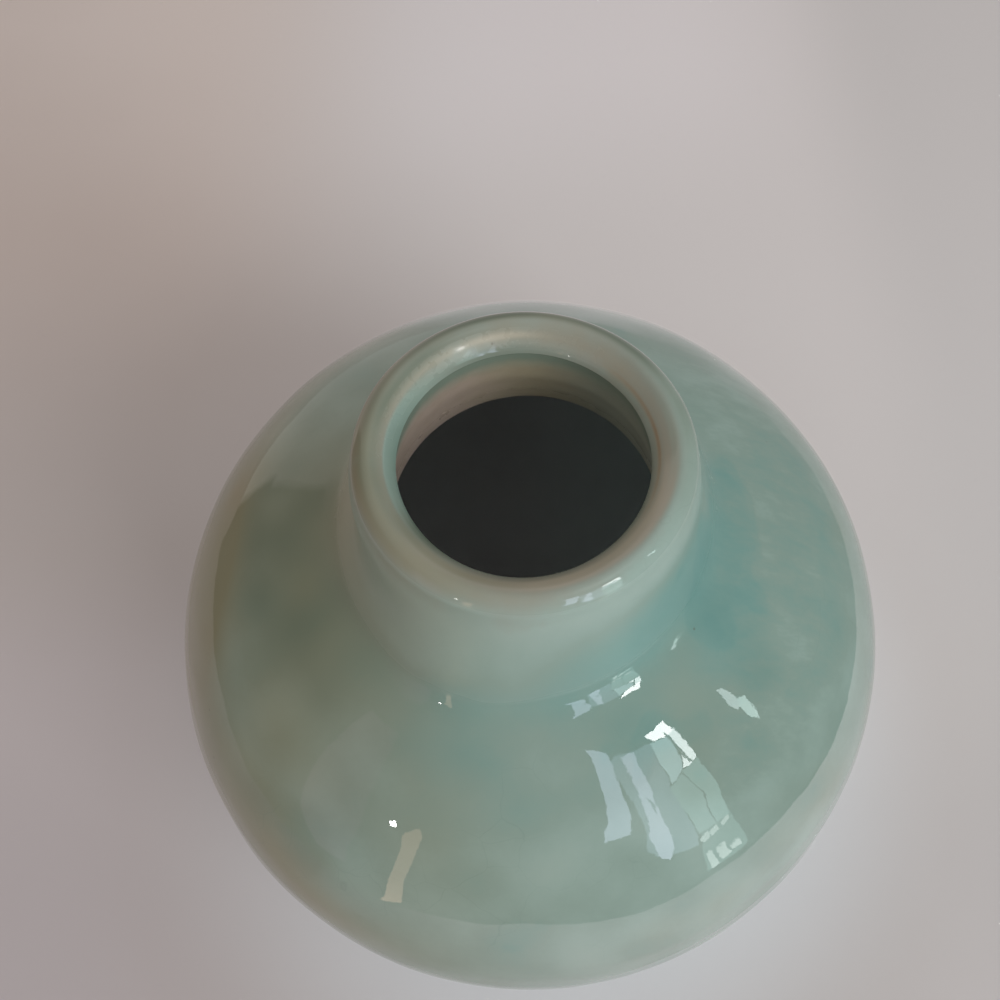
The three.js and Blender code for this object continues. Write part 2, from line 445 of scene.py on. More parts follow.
def celadon(name):
    """Glaze whose colour follows its thickness: brown and cream where thin, blue-green where it pools; its warm, deep
    and pale mixes also paint shade and a highlight.
    """
    m, t, p = new_mat(name)
    g = G(t)
    T = g.attr("glaze")
    cloud = g.math("SUBTRACT", g.noise(15, 3, 0.55), 0.5)
    streak = g.math("SUBTRACT", g.noise(5.5, 3, 0.6, v=g.stretch(g.mm, (1, 1, 0.28))), 0.5)
    fine = g.math("SUBTRACT", g.noise(1.1, 3, 0.6), 0.5)
    T = g.math("MULTIPLY_ADD", cloud, 0.26, T)
    T = g.math("MULTIPLY_ADD", streak, 0.16, T)
    T = g.math("MULTIPLY_ADD", fine, 0.06, T)
    # short runs down the slope on the right shoulder
    x, y, z = g.xyz()
    grain = g.math("SUBTRACT", g.noise(1.7, 3, 0.65, v=g.stretch(g.mm, (0.35, 1, 0.4))), 0.5)
    grain = g.math("MULTIPLY", grain, g.range(x, 16.0, 27.0, 0.0, 0.42, True))
    T = g.math("MULTIPLY_ADD", grain, g.range(z, 68.0, 78.0, 0.0, 1.0, True), T)
    col = g.ramp(g.math("DIVIDE", T, 2.0), [
        (0.03, srgb(112, 76, 52)),
        (0.10, srgb(148, 116, 88)),
        (0.17, srgb(162, 147, 124)),
        (0.24, srgb(166, 163, 147)),
        (0.30, srgb(164, 171, 160)),
        (0.38, srgb(164, 186, 177)),
        (0.44, srgb(156, 180, 171)),
        (0.50, srgb(146, 170, 160)),
        (0.65, srgb(127, 166, 159)),
        (0.82, srgb(108, 156, 151)),
        (1.00, srgb(90, 142, 137)),
    ])
    # warm breath in the glaze: olive-beige clouds, and the warm attribute, which is partly painted shade
    warm = g.math("ADD", g.range(g.noise(22, 2, 0.5, v=g.addv(g.mm, (31.0, 7.0, 12.0))), 0.5, 0.8, 0.0, 0.22, True), g.attr("warm"), clamp=True)
    col = g.mix(warm, col, srgb(150, 144, 113))
    # thick, iron-dark places, and painted shade from the deep attribute
    col = g.mix(g.math("MULTIPLY_ADD", cloud, 0.2, g.attr("deep"), clamp=True), col, srgb(106, 122, 106))
    # paler where it has run thin on the lip's slope, and a painted highlight at the back of the lip
    col = g.mix(g.attr("pale"), col, srgb(196, 190, 172))
    # fine crackle, hardly darker than the glaze
    warp = g.addv(g.mm, g.stretch(g.noise(6, 2, 0.5, color=True), (3.0, 3.0, 3.0)))
    edge = g.voronoi(6.5, "DISTANCE_TO_EDGE", v=warp)
    crack = g.math("MULTIPLY", g.range(edge, 0.0, 0.010, 1.0, 0.0), g.range(g.noise(18, 1, 0.5), 0.5, 0.7, 0.0, 0.5))
    crack = g.math("MULTIPLY", crack, g.range(T, 0.6, 0.95))
    col = g.mix(g.math("MULTIPLY", crack, 0.38), col, srgb(104, 128, 112))
    # a few iron specks under the surface
    cell = g.t.nodes.new("ShaderNodeTexVoronoi")
    g.link(g.mm, cell.inputs["Vector"])
    cell.inputs["Scale"].default_value = 1 / 3.2
    sep = g.t.nodes.new("ShaderNodeSeparateColor")
    g.link(cell.outputs["Color"], sep.inputs[0])
    pick = g.range(sep.outputs[0], 0.955, 0.96)
    dot = g.math("MULTIPLY", g.range(cell.outputs["Distance"], 0.03, 0.07, 1.0, 0.0, True), pick)
    col = g.mix(g.math("MULTIPLY", dot, 0.4), col, srgb(96, 84, 64))
    g.link(col, p.inputs["Base Color"])
    # the thin glaze on the lip is a little less glassy
    rough = g.math("ADD", g.range(g.noise(2.5, 3, 0.6), 0.3, 0.7, 0.010, 0.030), g.range(T, 0.45, 0.85, 0.05, 0.0, True))
    rough = g.math("MULTIPLY_ADD", g.attr("matt"), g.range(g.noise(1.3, 2, 0.6), 0.36, 0.50, 0.04, 0.32, True), rough)
    rough = g.math("MULTIPLY_ADD", g.attr("soft"), 0.33, rough)
    g.link(rough, p.inputs["Roughness"])
    p.inputs["IOR"].default_value = 1.53
    peel = g.math("ADD", g.math("MULTIPLY", g.noise(1.6, 2, 0.5), 1.0), g.math("MULTIPLY", dot, -0.6))
    g.link(g.bump(peel, 0.00002, 0.3), p.inputs["Normal"])
    return m


def liner(name):
    m, t, p = new_mat(name)
    g = G(t)
    x, y, z = g.xyz()
    zz = g.math("MULTIPLY_ADD", g.math("SUBTRACT", g.noise(5, 3, 0.6), 0.5), 2.6, z)
    neck = g.range(zz, 94.0, 98.0, 0.0, 1.0, True)
    side = g.range(g.math("MULTIPLY_ADD", g.math("SUBTRACT", g.noise(6, 2, 0.5), 0.5), 9.0, x), -12, 4, 0.0, 1.0, True)
    # the lower inner wall's pinkish and greenish browns are painted lighter than the neck above, painted light standing
    # in for light bounced up from inside
    low = g.mix(side, srgb(206, 186, 172), srgb(197, 187, 159))
    low = g.mix(g.range(g.noise(2.2, 3, 0.6), 0.4, 0.75, 0.0, 0.30), low, srgb(186, 166, 142))
    far = g.range(g.math("MULTIPLY_ADD", g.math("SUBTRACT", g.noise(6, 2, 0.5), 0.5), 6.0, x), 1, 11, 0.0, 1.0, True)
    low = g.mix(far, low, srgb(186, 194, 178))
    col = g.mix(neck, low, srgb(150, 166, 150))
    deep = g.range(zz, 80.0, 86.0, 0.0, 1.0, True)
    pale = g.mix(g.range(g.noise(14, 3, 0.55), 0.3, 0.7), srgb(225, 225, 226), srgb(217, 217, 218))
    pale = g.mix(g.range(x, -8.0, 24.0, 0.0, 1.0, True), pale, srgb(232, 246, 246))
    col = g.mix(deep, pale, col)
    g.link(col, p.inputs["Base Color"])
    g.link(g.range(g.math("MULTIPLY_ADD", g.noise(3, 3, 0.6), 6.0, z), 84.0, 91.0, 0.62, 0.26), p.inputs["Roughness"])
    p.inputs["IOR"].default_value = 1.5
    h = g.math("MULTIPLY", g.noise(0.9, 3, 0.6), 0.8)
    g.link(g.bump(h, 0.00005, 0.4), p.inputs["Normal"])
    return m


def clay(name, base, dark, lines=False):
    m, t, p = new_mat(name)
    g = G(t)
    x, y, z = g.xyz()
    col = g.mix(g.range(g.noise(6, 4, 0.6), 0.35, 0.7), base, dark)
    grit = g.range(g.voronoi(0.7), 0.05, 0.22, 1.0, 0.0)
    pick = g.range(g.noise(0.9, 1, 0.5), 0.55, 0.62)
    col = g.mix(g.math("MULTIPLY", g.math("MULTIPLY", grit, pick), 0.55), col, srgb(88, 66, 50))
    pale = g.range(g.voronoi(0.55, v=g.addv(g.mm, (5.1, 3.3, 9.7))), 0.03, 0.14, 1.0, 0.0)
    col = g.mix(g.math("MULTIPLY", pale, 0.4), col, srgb(214, 196, 172))
    if lines:
        # the iron flush next to the glaze, strongest at the ring's edges
        r = g.math("SQRT", g.math("ADD", g.math("MULTIPLY", x, x), g.math("MULTIPLY", y, y)))
        flush = g.math("MAXIMUM", g.range(r, 23.3, 24.4, 0.0, 1.0, True), g.range(r, 19.2, 20.2, 1.0, 0.0, True))
        col = g.mix(g.math("MULTIPLY", flush, 0.7), col, srgb(150, 84, 48))
    g.link(col, p.inputs["Base Color"])
    g.link(g.range(g.noise(1.5, 3, 0.6), 0.3, 0.7, 0.72, 0.92), p.inputs["Roughness"])
    h = g.math("ADD", g.noise(0.5, 4, 0.7), g.math("MULTIPLY", grit, -0.5))
    g.link(g.bump(h, 0.00012, 0.7), p.inputs["Normal"])
    return m


MAT_GLAZE = celadon("celadon_glaze")
MAT_LINER = liner("inner_glaze")
MAT_CLAY = clay("fired_clay", srgb(186, 160, 134), srgb(160, 132, 108))
MAT_FOOT = clay("bare_foot_clay", srgb(186, 146, 112), srgb(164, 116, 82), lines=True)

# ------------------------------------------------------------- outer glaze coat
M1 = len(OUT)
P0 = spin(OUT)
NN = spin_normals(OUT_N)
phi = np.repeat(PHI[None], M1, 0)
s = np.repeat(OUT_S[:, None], N, 1)
zz = P0[..., 2]
rr = np.hypot(P0[..., 0], P0[..., 1])
flat = P0.reshape(-1, 3)
lip_angle = np.degrees(np.arctan2(OUT[:, 1] - LIP_Z, OUT[:, 0] - LIP_R))
lip_angle = np.where(lip_angle < -90, lip_angle + 360, lip_angle)
on_lip = OUT[:, 1] > 97.3
la = np.repeat(np.where(on_lip, lip_angle, -90)[:, None], N, 1)

body = smooth(6, 14, zz) * (1 - smooth(82, 88, zz))
turn = phi / (2 * np.pi)
ring_amp = 0.030 - 0.020 * smooth(50, 66, zz)
rings = np.sin(2 * np.pi * (s / 5.4 + turn) + 1.3 * w_ring(flat).reshape(M1, N))
amp = ring_amp * (0.5 + 0.5 * w_round(flat).reshape(M1, N).clip(-1, 1))
relief = body * amp * rings
relief += 0.034 * w_soft(flat).reshape(M1, N) * (0.25 + 0.75 * body)
relief += 0.0065 * w_mid(flat).reshape(M1, N) * (0.4 + 0.6 * body)
# the glaze rolls into a bead above the bare foot
bead = bump(zz, 2.3, 0.9) * (1 - smooth(6, 8, zz))
relief += bead * (0.16 + 0.07 * w_edge(flat).reshape(M1, N))
relief *= 1 - 0.85 * smooth(60, 120, la) * smooth(97.5, 99, zz)

# how thick the glaze lies, 1 on the shoulder
T = np.interp(OUT[:, 1], [0, 1.6, 4, 8, 30, 60, 78, 83, 87, 90, 93, 96.0, 98.5], [0.7, 1.0, 1.25, 1.1, 0.96, 0.93, 0.95, 1.0, 1.04, 0.90, 0.84, 0.78, 0.72])
T = np.repeat(T[:, None], N, 1)
lipmask = smooth(8, 26, la)
T = T * (1 - lipmask) + lipmask * np.interp(la, [8, 30, 60, 90, 115, 138, 158, 180], [0.74, 0.68, 0.59, 0.56, 0.52, 0.52, 0.58, 0.64])
low_wave = w_pool(flat).reshape(M1, N)
edge_wave = w_edge(flat).reshape(M1, N)
# pools at the foot of the neck, deepest on the right, with the flow's own outline
flow = bump(zz, 86.6, 4.6) * around(phi, -8, 30) + 0.42 * bump(zz, 80.5, 4.5) * around(phi, -60, 16) + 0.13 * low_wave + 0.11 * edge_wave + 0.08 * w_mid(flat).reshape(M1, N)
T += 0.10 * smooth(0.40, 0.52, flow) + 0.06 * smooth(0.66, 0.76, flow)
T += 0.12 * bump(zz, 79.0, 4.0) * around(phi, -104, 13)
T += 0.05 * low_wave * (body + bump(zz, 87.5, 4.5))
# a little more of it on the right shoulder and up the neck at the front
T += 0.07 * around(phi, -15, 38) * smooth(50, 66, zz) * (1 - smooth(80, 86, zz)) + 0.09 * around(phi, -25, 14) * bump(zz, 79, 5)
T += (0.50 * around(phi, -46, 36) * bump(zz, 90.5, 5.5) + 0.06 * around(phi, -98, 36) * bump(zz, 86.5, 4.0)) * (1 - lipmask)
# on the lip: teal in the hollow of its inner slope, brown where it thins over the edges
T += smooth(128, 148, la) * 0.44 * around(phi, 176, 30) - 0.08 * smooth(142, 162, la) * around(phi, -96, 80)
T -= bump(la, 160, 8) * 0.40 * around(phi, 8, 26) * (0.85 + 0.15 * low_wave)
T -= bump(la, 46, 26) * 0.20 * around(phi, -176, 40)
T += bump(la, 66, 52) * 0.24 * around(phi, -12, 50) + bump(la, 100, 12) * 0.14 * around(phi, -8, 24)
T = np.clip(T, 0.02, 2.0)
ring_wave = w_ring(flat).reshape(M1, N)
# olive on the left side and up the neck there, partly the glaze's own tone and partly painted warm shade on the side
# away from the window; tan on the lip's flanks turned from the window is painted shade
warm = 0.72 * around(phi, -154, 42) * smooth(40, 62, zz) * (1 - 0.52 * smooth(73, 80, zz)) * (1 - lipmask)
warm += (0.56 * around(phi, -164, 50) * (1 - smooth(54, 68, zz)) * (0.22 + 0.78 * smooth(34, 50, zz)) + 0.26 * around(phi, 158, 32) * smooth(40, 60, zz) + 0.24 * around(phi, -166, 26) * bump(zz, 73, 9) + 0.26 * around(phi, -142, 24) * bump(zz, 69, 9)) * (1 - lipmask)
# painted shade: the lip's outer slope at the back, turned from the light, is darkened through warm and deep
back_edge_painted_shade = smooth(2, 14, la) * (1 - smooth(62, 86, la)) * around(phi, 94, 66)
warm += lipmask * (0.45 * around(phi, -168, 40) * bump(la, 66, 44) + 0.25 * around(phi, -178, 20) * bump(la, 76, 12) + 0.25 * around(phi, -98, 60) * bump(la, 116, 24) + 0.24 * around(phi, -126, 30) * bump(la, 80, 40)) + 0.70 * back_edge_painted_shade
warm = np.clip(warm * (1 + 0.30 * ring_wave), 0, 0.85)
# darker green, partly the glaze's own iron-dark colour and partly painted shade: beside the neck on the left, where
# less light reaches, and on the lip where it turns from the window
deep = 0.42 * around(phi, -176, 28) * smooth(75.5, 80.5, zz) * (1 - smooth(84.5, 88, zz)) * (1 - lipmask)
deep += (0.15 * around(phi, -42, 28) + 0.12 * around(phi, -132, 22)) * smooth(60, 68, zz) * (1 - smooth(80, 84, zz)) + 0.22 * around(phi, -141, 24) * smooth(78, 82, zz) * (1 - smooth(86, 88, zz))
deep += lipmask * (0.26 * around(phi, -176, 42) * smooth(30, 70, la) + 0.10 * around(phi, 14, 30) * bump(la, 40, 34) + 0.12 * around(phi, -178, 20) * bump(la, 76, 12) + 0.12 * around(phi, 40, 30) * bump(la, 76, 34) + 0.30 * around(phi, -152, 30) * smooth(146, 166, la) + 0.26 * around(phi, -158, 26) * smooth(76, 104, la) + 0.62 * bump(la, 94, 16) * around(phi, 141, 32)
                  + 0.30 * smooth(158, 174, la) * around(phi, 104, 40) + 0.36 * smooth(158, 174, la) * around(phi, -20, 62)) + 0.85 * back_edge_painted_shade
deep = np.clip(deep * (1 + 0.25 * low_wave), 0, 0.8)

# where the thin glaze on the lip has crawled a little and lost its gloss
matt = smooth(94, 108, la) * (1 - smooth(170, 179, la)) * (0.30 + 0.70 * np.clip(1.6 * around(phi, 118, 60), 0, 1)) + 0.30 * bump(la, 84, 22) * around(phi, -70, 50)
for spot_phi, spot_la in ((117.0, 131), (137.0, 140)):
    matt = matt * (1 - around(phi, spot_phi, 3.2) * bump(la, spot_la, 8))
matt = np.clip(matt, 0, 1)
# softly matt on the neck's wall and the lip's outside, glassy again in the fillet
soft = smooth(86.8, 88.6, zz) * (1 - smooth(20, 38, la)) + 0.75 * bump(zz, 86.4, 2.4) * (1 - np.clip(1.8 * around(phi, -66, 22) + 1.4 * around(phi, -112, 7), 0, 1))
soft = np.clip(soft * (rr < 27), 0, 1)
# thin and pale on the lip's inner slope at the front; the pale band on the inner slope at the back is a painted
# highlight
pale = 0.84 * smooth(76, 96, la) * (1 - 0.93 * smooth(126, 160, la)) * np.clip(1.3 * around(phi, -54, 56), 0, 1)
pale += 0.30 * around(phi, -178, 24) * bump(zz, 89.0, 3.6) * (1 - lipmask) + 0.13 * around(phi, -126, 30) * bump(la, 80, 40) + bump(la, 130, 13) * (0.85 * around(phi, 97, 16) + 0.34 * around(phi, 138, 34))
pale = np.clip(pale * (1 + 0.18 * low_wave), 0, 0.92)

Pout = P0 + NN * relief[..., None]
# wavy lower edge of the glaze
edge_fall = 1 - smooth(0, 4.0, s)
wave = 0.35 * w_edge(np.stack([25 * np.cos(phi).ravel(), 25 * np.sin(phi).ravel(), np.zeros(phi.size)], -1)).reshape(M1, N)
Pout[..., 2] += edge_fall * np.clip(wave, -0.8, 0.9)

# the coat's hidden side, on the clay
pick = np.unique(np.r_[np.arange(0, M1, 6), M1 - 1])
Pin = spin(CLAY[pick])
Pin[0, :, 2] = Pout[0, :, 2]
Pin[-1, :, 2] = Pout[-1, :, 2]
rows = np.concatenate([Pout, Pin[::-1]])
attrs = {"glaze": np.concatenate([T, T[pick][::-1]]), "warm": np.concatenate([warm, warm[pick][::-1]]), "deep": np.concatenate([deep, deep[pick][::-1]]), "matt": np.concatenate([matt, matt[pick][::-1]]),
         "soft": np.concatenate([soft, soft[pick][::-1]]), "pale": np.concatenate([pale, pale[pick][::-1]])}
place(build("celadon_coat", rows, attrs), "celadon_glaze", MAT_GLAZE, "glaze_outer")

# ------------------------------------------------------------------- the inside
IN_UP = follow([(40.9, 24), (37.3, 36), (39.4, 46), (76.3, 53.5)], r=47.3)
IN_DN = follow([(40.8, -30), (33.0, -62)], r=47.3)
ceil_z = IN_UP[-1][1] + (IN_UP[-1][0] - 20.6) * math.tan(math.radians(36.5))
inner = [(6.0, 8.82), (14.0, 8.95), (20.0, 9.1)] + IN_DN[::-1] + [(47.3, EQ_Z)] + IN_UP
inner += line(IN_UP[-1], (20.6, ceil_z), 12) + line((20.6, ceil_z), (18.2, ceil_z + 0.1), 6)
inner += [(17.7, ceil_z + 0.2), (17.3, ceil_z + 0.55), (17.1, ceil_z + 1.1)]
inner += line((17.1, ceil_z + 1.1), (15.4, 92.6), 22) + line((15.4, 92.6), (MOUTH_R + 0.4, MOUTH_Z), 24)
inner = soften(inner, [0.25 if z > 80 else 1.5 if 12 < z < 80 else 0.8 for r, z in inner])
INC = resample(inner, lambda r, z: 0.3 if z > 82.5 else 1.6)
INC = np.concatenate([INC[:-1], [INC[-1] + (INC[-2] - INC[-1]) * 0.08], INC[-1:]])
INC_N = normals_of(INC)
coat = INC - INC_N * 0.36
coat[-1] = (MOUTH_R, MOUTH_Z)
in_rows = spin(coat[::-1])
fl = in_rows.reshape(-1, 3)
inn = spin_normals(INC_N[::-1])
grooves = np.sin(2 * np.pi * (in_rows[..., 2] / 3.6 + PHI[None] / (2 * np.pi))) * 0.10 + 0.05 * w_soft(fl).reshape(in_rows.shape[:2])
fade = smooth(9, 16, in_rows[..., 2]) * (1 - 0.75 * smooth(80, 88, in_rows[..., 2])) * (1 - smooth(96, 98.5, in_rows[..., 2]))
in_rows = in_rows + inn * (grooves * fade * 0.6)[..., None]
rows = np.concatenate([spin(INC), in_rows])
ob = build("liner_coat", rows, closed=False, pole_a=8.8, pole_b=9.16)
place(ob, "inner_glaze", MAT_LINER, "glaze_inner")

# --------------------------------------------------------- clay of the foot ring
fo = CLAY[0][0]
foot_prof = (
    line((20.35, 0.0), (23.1, 0.0), 14) + [(23.35, 0.04), (23.55, 0.14), (23.72, 0.3)]
    + line((23.72, 0.3), (fo, 1.4), 6) + line((fo, 1.4), (24.97, 4.6), 8)
    + [(22.8, 4.6), (22.8, 5.5), (21.2, 5.5), (21.2, 4.6), (19.0, 4.6)]
    + line((19.0, 4.6), (19.0, 1.5), 6) + line((19.0, 1.5), (19.75, 0.38), 5) + [(19.9, 0.18), (20.1, 0.05), (20.35, 0.0)])
foot_prof = np.array(foot_prof)
fr = spin(foot_prof)
ffl = fr.reshape(-1, 3)
w_chip = Waves(31, 0.9, 2.6, 40)
w_turn = Waves(32, 8, 20, 12)
under = bump(fr[..., 2], 0.0, 0.5)
tool = np.sin(2 * np.pi * np.hypot(fr[..., 0], fr[..., 1]) / 0.55 + 0.5 * w_turn(ffl).reshape(fr.shape[:2]))
dz = under * (0.025 * (tool + 1) + 0.02 * np.abs(w_chip(ffl).reshape(fr.shape[:2])))
fr[..., 2] += dz * (fr[..., 2] < 0.6)
nick = smooth(1.35, 1.9, w_chip(ffl * 0.45).reshape(fr.shape[:2])) * bump(fr[..., 2], 0.25, 0.35)
fr[..., 2] += nick * 0.25
place(build("foot_ring_clay", fr), "foot_clay", MAT_FOOT, "foot_ring")

# ------------------------------------------------------------ glaze in the recess
base_prof = ([(r, 4.2) for r in (4.0, 8.0, 12.0, 15.0, 17.0)] + [(17.8, 4.18), (18.3, 4.0), (18.55, 3.6), (18.65, 3.1)]
             + [(18.68, 2.4), (18.66, 1.9), (18.74, 1.55), (18.9, 1.45), (19.0, 1.5)]
             + [(19.0, 2.5), (19.0, 4.6), (12.0, 4.6), (5.0, 4.6)])
bp = np.array(base_prof)
bp = np.concatenate([resample(bp[:14], lambda r, z: 0.35 if r > 16 else 0.8), bp[14:]])
br = spin(bp)
bfl = br.reshape(-1, 3)
vis = (br[..., 2] < 4.45)
br[..., 2] += vis * smooth(1.6, 3.9, br[..., 2]) * 0.06 * (np.sin(2 * np.pi * np.hypot(br[..., 0], br[..., 1]) / 3.1) + w_soft(bfl).reshape(br.shape[:2]))
br[..., 2] = np.where(vis, np.minimum(br[..., 2], 4.45), br[..., 2])
Tb = 1.05 + 0.12 * w_pool(bfl).reshape(br.shape[:2]) + 0.4 * bump(np.hypot(br[..., 0], br[..., 1]), 18.2, 0.8) - 0.55 * bump(br[..., 2], 1.5, 0.5)
ob = build("recess_coat", br, {"glaze": np.clip(Tb, 0.05, 2)}, closed=False, pole_a=4.2, pole_b=4.6)
place(ob, "celadon_glaze", MAT_GLAZE, "glaze_base")

# ---------------------------------------------------------- clay under the glaze
iw = int(np.argmin(np.abs(OUT[:, 1] - EQ_Z) + (OUT[:, 0] < 40) * 99))
jf = int(np.argmin(np.hypot(OUT[:, 0] - 24.9, OUT[:, 1] - 86.5)))
seat = tuple(CLAY[jf])
waist = (CLAY[iw][0], EQ_Z)
rim_out, rim_in = waist[0], 47.3
mid = (rim_out + rim_in) / 2
kf = int(np.argmin(np.abs(CLAY[:iw, 1] - 4.6)))
thin_out = lambda a, b, k: [tuple(p) for p in CLAY[a:b:k]]
in_low = [tuple(p) for p in INC[::2] if p[1] < EQ_Z - 0.5]
in_up = [tuple(p) for p in INC[::2] if EQ_Z + 0.5 < p[1] < ceil_z - 0.3 and p[0] > 20.6]
neck_in = [tuple(p) for p in INC[::2] if p[0] < 17.6 and ceil_z + 0.2 < p[1] < MOUTH_Z - 0.2]

lower = ([(14.0, 4.6), (21.2, 4.6), (21.2, 5.5), (22.8, 5.5), (22.8, 4.6), (24.97, 4.6)]
         + [p for p in thin_out(kf + 2, iw - 1, 3) if p[1] > 4.9] + [waist, (mid + 1, EQ_Z), (mid, EQ_Z + 2), (mid - 1, EQ_Z), (rim_in, EQ_Z)]
         + in_low[::-1])
place(build("lower_bowl_clay", spin(np.array(lower)), closed=False, pole_a=4.6, pole_b=8.8), "clay_body", MAT_CLAY, "lower_body")

upper = ([(rim_in, EQ_Z), (mid - 1, EQ_Z), (mid, EQ_Z + 2), (mid + 1, EQ_Z), waist] + thin_out(iw + 2, jf - 1, 3)
         + [seat, (20.6, seat[1]), (20.6, ceil_z)] + in_up[::-1])
place(build("upper_bowl_clay", spin(np.array(upper))), "clay_body", MAT_CLAY, "upper_body")

collar = ([(17.3, ceil_z + 0.5), (17.7, ceil_z + 0.2), (18.2, ceil_z + 0.1), (20.6, ceil_z), (20.6, seat[1]), seat] + thin_out(jf + 2, M1 - 1, 2)
          + [(MOUTH_R + 0.4, MOUTH_Z)] + neck_in[::-1])
place(build("neck_collar_clay", spin(np.array(collar))), "clay_body", MAT_CLAY, "neck_collar")


# ---------------------------------------------------------------------- stage
def stage_quad(name, corners, mat):
    me = bpy.data.meshes.new(name)
    me.from_pydata([tuple(c) for c in corners], [], [tuple(range(len(corners)))])
    me.update()
    ob = bpy.data.objects.new(name, me)
    bpy.context.scene.collection.objects.link(ob)
    me.materials.append(mat)
    return ob


def paper(name):
    m, t, p = new_mat(name)
    g = G(t)
    x, y, z = g.xyz()
    # painted light: the floor's colour grows paler from the near left towards the back and the right, as the light
    # falls on it
    front = g.math("MULTIPLY", g.math("MAXIMUM", g.math("SUBTRACT", -60.0, y), 0.0), 0.42)
    across = g.math("MULTIPLY_ADD", g.math("MAXIMUM", g.math("MINIMUM", y, 200.0), -20.0), 0.7, g.math("MULTIPLY", x, 0.6))
    across = g.math("ADD", across, front)
    across = g.math("MULTIPLY_ADD", g.math("SUBTRACT", g.noise(60, 3, 0.5), 0.5), 40.0, across)
    col = g.mix(g.range(across, -75.0, 110.0, 0.0, 1.0, True), srgb(212, 201, 198), srgb(242, 236, 236))
    # painted light and shade: warm far on the left, cooler near on the left, paler behind, a little darker far on the
    # right
    left = g.range(x, -20.0, -95.0, 0.0, 1.0, True)
    col = g.mix(g.math("MULTIPLY", left, g.range(y, 35.0, 130.0, 0.0, 1.0, True)), col, (1.0, 0.93, 0.88), "MULTIPLY")
    col = g.mix(g.math("MULTIPLY", left, g.range(y, 40.0, 0.0, 0.0, 1.0, True)), col, (1.04, 1.05, 1.10), "MULTIPLY")
    middle = g.math("MULTIPLY", g.range(x, -70.0, 0.0, 0.0, 1.0, True), g.range(x, 100.0, 40.0, 0.0, 1.0, True))
    col = g.mix(g.math("MULTIPLY", middle, g.range(y, 110.0, 185.0, 0.0, 1.0, True)), col, (1.10, 1.10, 1.12), "MULTIPLY")
    col = g.mix(g.range(x, 68.0, 105.0, 0.0, 1.0, True), col, (0.91, 0.92, 0.92), "MULTIPLY")
    col = g.mix(g.range(y, 10.0, -38.0, 0.0, 1.0, True), col, (0.93, 0.935, 0.945), "MULTIPLY")
    g.link(col, p.inputs["Base Color"])
    # painted light: the floor glows round the pot's foot, mostly on the side of the window, standing in for light the
    # pale sheet throws back there
    r = g.math("SQRT", g.math("ADD", g.math("MULTIPLY", x, x), g.math("MULTIPLY", y, y)))
    painted_glow = g.math("MULTIPLY", g.range(r, 84.0, 46.0, 0.0, 1.0, True), g.range(g.math("MULTIPLY_ADD", x, 0.6, g.math("MULTIPLY", y, -0.8)), -40.0, 45.0, 0.25, 1.0, True))
    p.inputs["Emission Color"].default_value = (0.82, 1.0, 1.14, 1.0)
    g.link(g.math("MULTIPLY", painted_glow, 0.17), p.inputs["Emission Strength"])
    p.inputs["Roughness"].default_value = 0.75
    p.inputs["Specular IOR Level"].default_value = 0.2
    return m


MAT_PAPER = paper("pale_floor")
# the near floor, which the pot mirrors, and the wide one round it for the other views
near = [(-213, 240), (-206, 90), (-217, 44), (-214, 8), (-221, -30), (-186, -68), (-139, -112), (-99, -140), (-58, -180), (-2, -211), (44, -187),
        (81, -167), (104, -147), (128, -120), (141, -80), (154, -34), (157, 3), (152, 60), (156, 240)]
stage_quad("floor_near", [(x * MM, y * MM, 0) for x, y in near[::-1]], MAT_PAPER)
wide = stage_quad("floor_wide", [(-3, -3, -0.0004), (3, -3, -0.0004), (3, 3, -0.0004), (-3, 3, -0.0004)], MAT_PAPER)
wide.visible_glossy = False


def emitter(name, color, strength):
    m = bpy.data.materials.new(name)
    m.use_nodes = True
    m.cycles.emission_sampling = "NONE"
    t = m.node_tree
    t.nodes.clear()
    out = t.nodes.new("ShaderNodeOutputMaterial")
    e = t.nodes.new("ShaderNodeEmission")
    e.inputs["Color"].default_value = (*color, 1)
    e.inputs["Strength"].default_value = strength
    t.links.new(e.outputs[0], out.inputs["Surface"])
    return m, t, e


def only_in_gloss(ob):
    ob.visible_camera = False
    ob.visible_diffuse = False
    ob.visible_shadow = False
    ob.visible_transmission = False


# the sheet is brighter towards the window than the camera sees of it; the glaze mirrors that
shine = stage_quad("floor_shine", [(x * MM, y * MM, 0.0004) for x, y in near[::-1]], bpy.data.materials.new("floor_shine"))
sm = shine.data.materials[0]
sm.use_nodes = True
sm.cycles.emission_sampling = "NONE"
st = sm.node_tree
st.nodes.clear()
sg = G(st)
sx, sy, _sz = sg.xyz()
s_out = st.nodes.new("ShaderNodeOutputMaterial")
s_add = st.nodes.new("ShaderNodeAddShader")
s_em = st.nodes.new("ShaderNodeEmission")
s_tr = st.nodes.new("ShaderNodeBsdfTransparent")
s_em.inputs["Color"].default_value = (1.0, 0.92, 0.97, 1.0)
toward = sg.range(sg.math("MULTIPLY_ADD", sx, 0.62, sg.math("MULTIPLY", sy, -0.78)), 40.0, 150.0, 0.0, 0.58, True)
behind = sg.math("MULTIPLY", sg.range(sy, 60.0, 130.0, 0.0, 0.14, True), sg.range(sg.math("ABSOLUTE", sg.math("SUBTRACT", sx, 20.0)), 90.0, 20.0, 0.0, 1.0, True))
sg.link(sg.math("ADD", toward, behind), s_em.inputs["Strength"])
st.links.new(s_em.outputs[0], s_add.inputs[0])
st.links.new(s_tr.outputs[0], s_add.inputs[1])
st.links.new(s_add.outputs[0], s_out.inputs["Surface"])
only_in_gloss(shine)

CARD_C = Vector((0, 0, 0.08))


